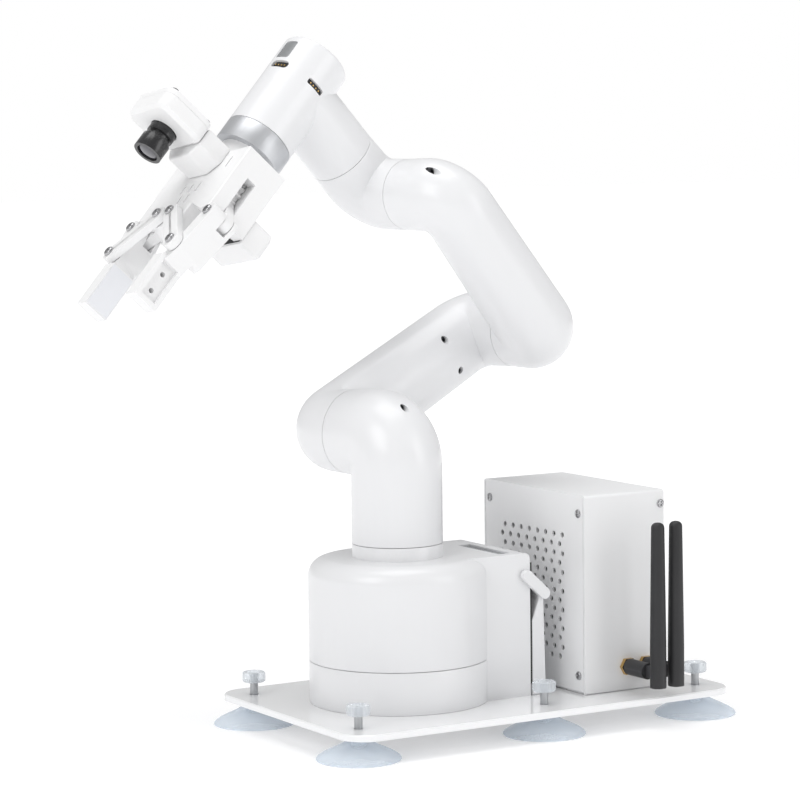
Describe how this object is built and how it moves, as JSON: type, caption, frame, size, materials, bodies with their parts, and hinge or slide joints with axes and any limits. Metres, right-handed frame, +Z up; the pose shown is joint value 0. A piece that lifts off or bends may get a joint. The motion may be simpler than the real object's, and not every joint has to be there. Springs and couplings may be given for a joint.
{
  "type": "desktop robot arm",
  "caption": "Six-axis desktop robot arm with smooth tube links, a parallel gripper and wrist camera, on a suction-cup plate beside its perforated controller case.",
  "frame": {"origin": "on the axis of the base joint, at the height of the suction cups' rims", "axes": "+Z up along the base joint, +Y from the base towards the controller case, +X towards the antennas"},
  "size_m": [0.1603, 0.3078, 0.3439],
  "materials": {
    "body_white": "satin moulded shell",
    "plate_white": "glossy cast sheet",
    "case_white": "fine powder coat",
    "print_white": "matt printed plastic",
    "flange_grey": "satin bead blasted",
    "servo_metal": "dark anodised",
    "key_grey": "brushed",
    "black_plastic": "matt moulded",
    "lens_black": "gloss black",
    "antenna_black": "matt rubber",
    "connector_gold": "gold plated",
    "screw_steel": "pan head steel",
    "screw_dark": "blackened steel",
    "cup_clear": "clear soft vinyl",
    "knob_clear": "clear moulded",
    "stud_grey": "plain steel",
    "board_green": "solder mask",
    "window_dark": "smoked window"
  },
  "bodies": {
    "base": {"base_plate": "plate_white", "suction_cups": "cup_clear", "cup_studs": "stud_grey", "cup_knobs": "knob_clear", "base_ring": "body_white", "base_shell": "body_white", "status_window": "window_dark", "rear_gasket": "black_plastic", "rear_cover": "body_white", "servo_base": "servo_metal", "case_cover": "case_white", "case_front_panel": "case_white", "case_tray": "case_white", "case_screws": "screw_steel", "computer_board": "board_green", "sma_jacks": "connector_gold"},
    "latch": {"latch_lever": "body_white"},
    "swivel_a": {"antenna_swivel_a": "antenna_black"},
    "whip_a": {"antenna_whip_a": "antenna_black"},
    "swivel_b": {"antenna_swivel_b": "antenna_black"},
    "whip_b": {"antenna_whip_b": "antenna_black"},
    "column": {"flange_base": "servo_metal", "column_casing": "body_white", "column_panel": "body_white", "servo_shoulder": "servo_metal"},
    "upper_arm": {"flange_shoulder": "servo_metal", "upper_arm_casing": "body_white", "upper_arm_panel": "body_white", "upper_arm_screws": "screw_dark", "servo_elbow": "servo_metal"},
    "forearm": {"flange_elbow": "servo_metal", "forearm_casing": "body_white", "forearm_panel": "body_white", "servo_wrist": "servo_metal"},
    "wrist": {"flange_wrist": "servo_metal", "wrist_casing": "body_white", "servo_roll": "servo_metal"},
    "head": {"flange_roll": "servo_metal", "head_casing": "body_white", "head_key": "key_grey", "head_ports": "black_plastic", "servo_tool": "servo_metal"},
    "tool": {"tool_flange": "flange_grey", "grip_housing": "print_white", "grip_pins": "screw_steel", "grip_servo": "black_plastic", "servo_cover": "print_white", "camera_stem": "print_white", "camera_front": "print_white", "camera_back": "print_white", "camera_screws": "screw_dark", "camera_lens": "lens_black"},
    "crank_right": {"crank_right": "print_white"},
    "crank_left": {"crank_left": "print_white"},
    "link_right": {"link_right": "print_white"},
    "link_left": {"link_left": "print_white"},
    "finger_right": {"finger_right": "print_white", "finger_screws_right": "screw_steel"},
    "finger_left": {"finger_left": "print_white", "finger_screws_left": "screw_steel"}
  },
  "joints": [
    {"name": "base_turn", "type": "hinge", "parent": "base", "child": "column", "pos_m": [0, 0, 0.0935], "axis": [0, 0, 1], "range_deg": [-105, 165]},
    {"name": "shoulder", "type": "hinge", "parent": "column", "child": "upper_arm", "pos_m": [0, 0, 0.1464], "axis": [-0.9794, -0.2019, 0], "range_deg": [-85, 25]},
    {"name": "elbow", "type": "hinge", "parent": "upper_arm", "child": "forearm", "pos_m": [-0.02021, 0.09799, 0.19306], "axis": [-0.9794, -0.2019, 0], "range_deg": [-25, 145]},
    {"name": "wrist_bend", "type": "hinge", "parent": "forearm", "child": "wrist", "pos_m": [-0.00749, 0.03634, 0.26421], "axis": [-0.9794, -0.2019, 0], "range_deg": [-40, 90]},
    {"name": "wrist_roll", "type": "hinge", "parent": "wrist", "child": "head", "pos_m": [-0.06332, 0.02483, 0.26421], "axis": [0.1443, -0.6998, 0.6997], "range_deg": [-165, 165]},
    {"name": "tool_turn", "type": "hinge", "parent": "head", "child": "tool", "pos_m": [-0.05271, -0.0266, 0.31563], "axis": [0.1413, -0.6852, -0.7145], "range_deg": [-175, 175]},
    {"name": "crank_right_turn", "type": "hinge", "parent": "tool", "child": "crank_right", "pos_m": [-0.02876, -0.07965, 0.26558], "axis": [-0.0539, -0.726, 0.6856], "range_deg": [-40, 5]},
    {"name": "crank_left_turn", "type": "hinge", "parent": "tool", "child": "crank_left", "pos_m": [-0.05565, -0.08124, 0.26178], "axis": [-0.0539, -0.726, 0.6856], "range_deg": [-5, 40]},
    {"name": "link_right_turn", "type": "hinge", "parent": "tool", "child": "link_right", "pos_m": [-0.03381, -0.10398, 0.25852], "axis": [-0.0539, -0.726, 0.6856], "range_deg": [-40, 5]},
    {"name": "link_left_turn", "type": "hinge", "parent": "tool", "child": "link_left", "pos_m": [-0.04607, -0.1047, 0.25679], "axis": [-0.0539, -0.726, 0.6856], "range_deg": [-5, 40]},
    {"name": "finger_right_turn", "type": "hinge", "parent": "crank_right", "child": "finger_right", "pos_m": [-0.00227, -0.09313, 0.25338], "axis": [-0.0539, -0.726, 0.6856], "range_deg": [-5, 40]},
    {"name": "finger_left_turn", "type": "hinge", "parent": "crank_left", "child": "finger_left", "pos_m": [-0.07601, -0.09749, 0.24297], "axis": [-0.0539, -0.726, 0.6856], "range_deg": [-40, 5]},
    {"name": "latch_turn", "type": "hinge", "parent": "base", "child": "latch", "pos_m": [0.03, 0.0555, 0.0758], "axis": [1, 0, 0], "range_deg": [0, 80]},
    {"name": "antenna_swivel_a", "type": "hinge", "parent": "base", "child": "swivel_a", "pos_m": [0.0486, 0.1063, 0.0272], "axis": [1, 0, 0], "range_deg": [0, 20]},
    {"name": "antenna_tilt_a", "type": "hinge", "parent": "swivel_a", "child": "whip_a", "pos_m": [0.0725, 0.1063, 0.0272], "axis": [0, 1, 0], "range_deg": [0, 90]},
    {"name": "antenna_swivel_b", "type": "hinge", "parent": "base", "child": "swivel_b", "pos_m": [0.0486, 0.1172, 0.0272], "axis": [1, 0, 0], "range_deg": [-20, 0]},
    {"name": "antenna_tilt_b", "type": "hinge", "parent": "swivel_b", "child": "whip_b", "pos_m": [0.0725, 0.1172, 0.0272], "axis": [0, 1, 0], "range_deg": [0, 90]}
  ],
  "couplings": [
    {"joint": "crank_left_turn", "follows": "crank_right_turn", "ratio": -1},
    {"joint": "link_right_turn", "follows": "crank_right_turn", "ratio": 1},
    {"joint": "link_left_turn", "follows": "crank_right_turn", "ratio": -1},
    {"joint": "finger_right_turn", "follows": "crank_right_turn", "ratio": -1},
    {"joint": "finger_left_turn", "follows": "crank_right_turn", "ratio": 1}
  ]
}
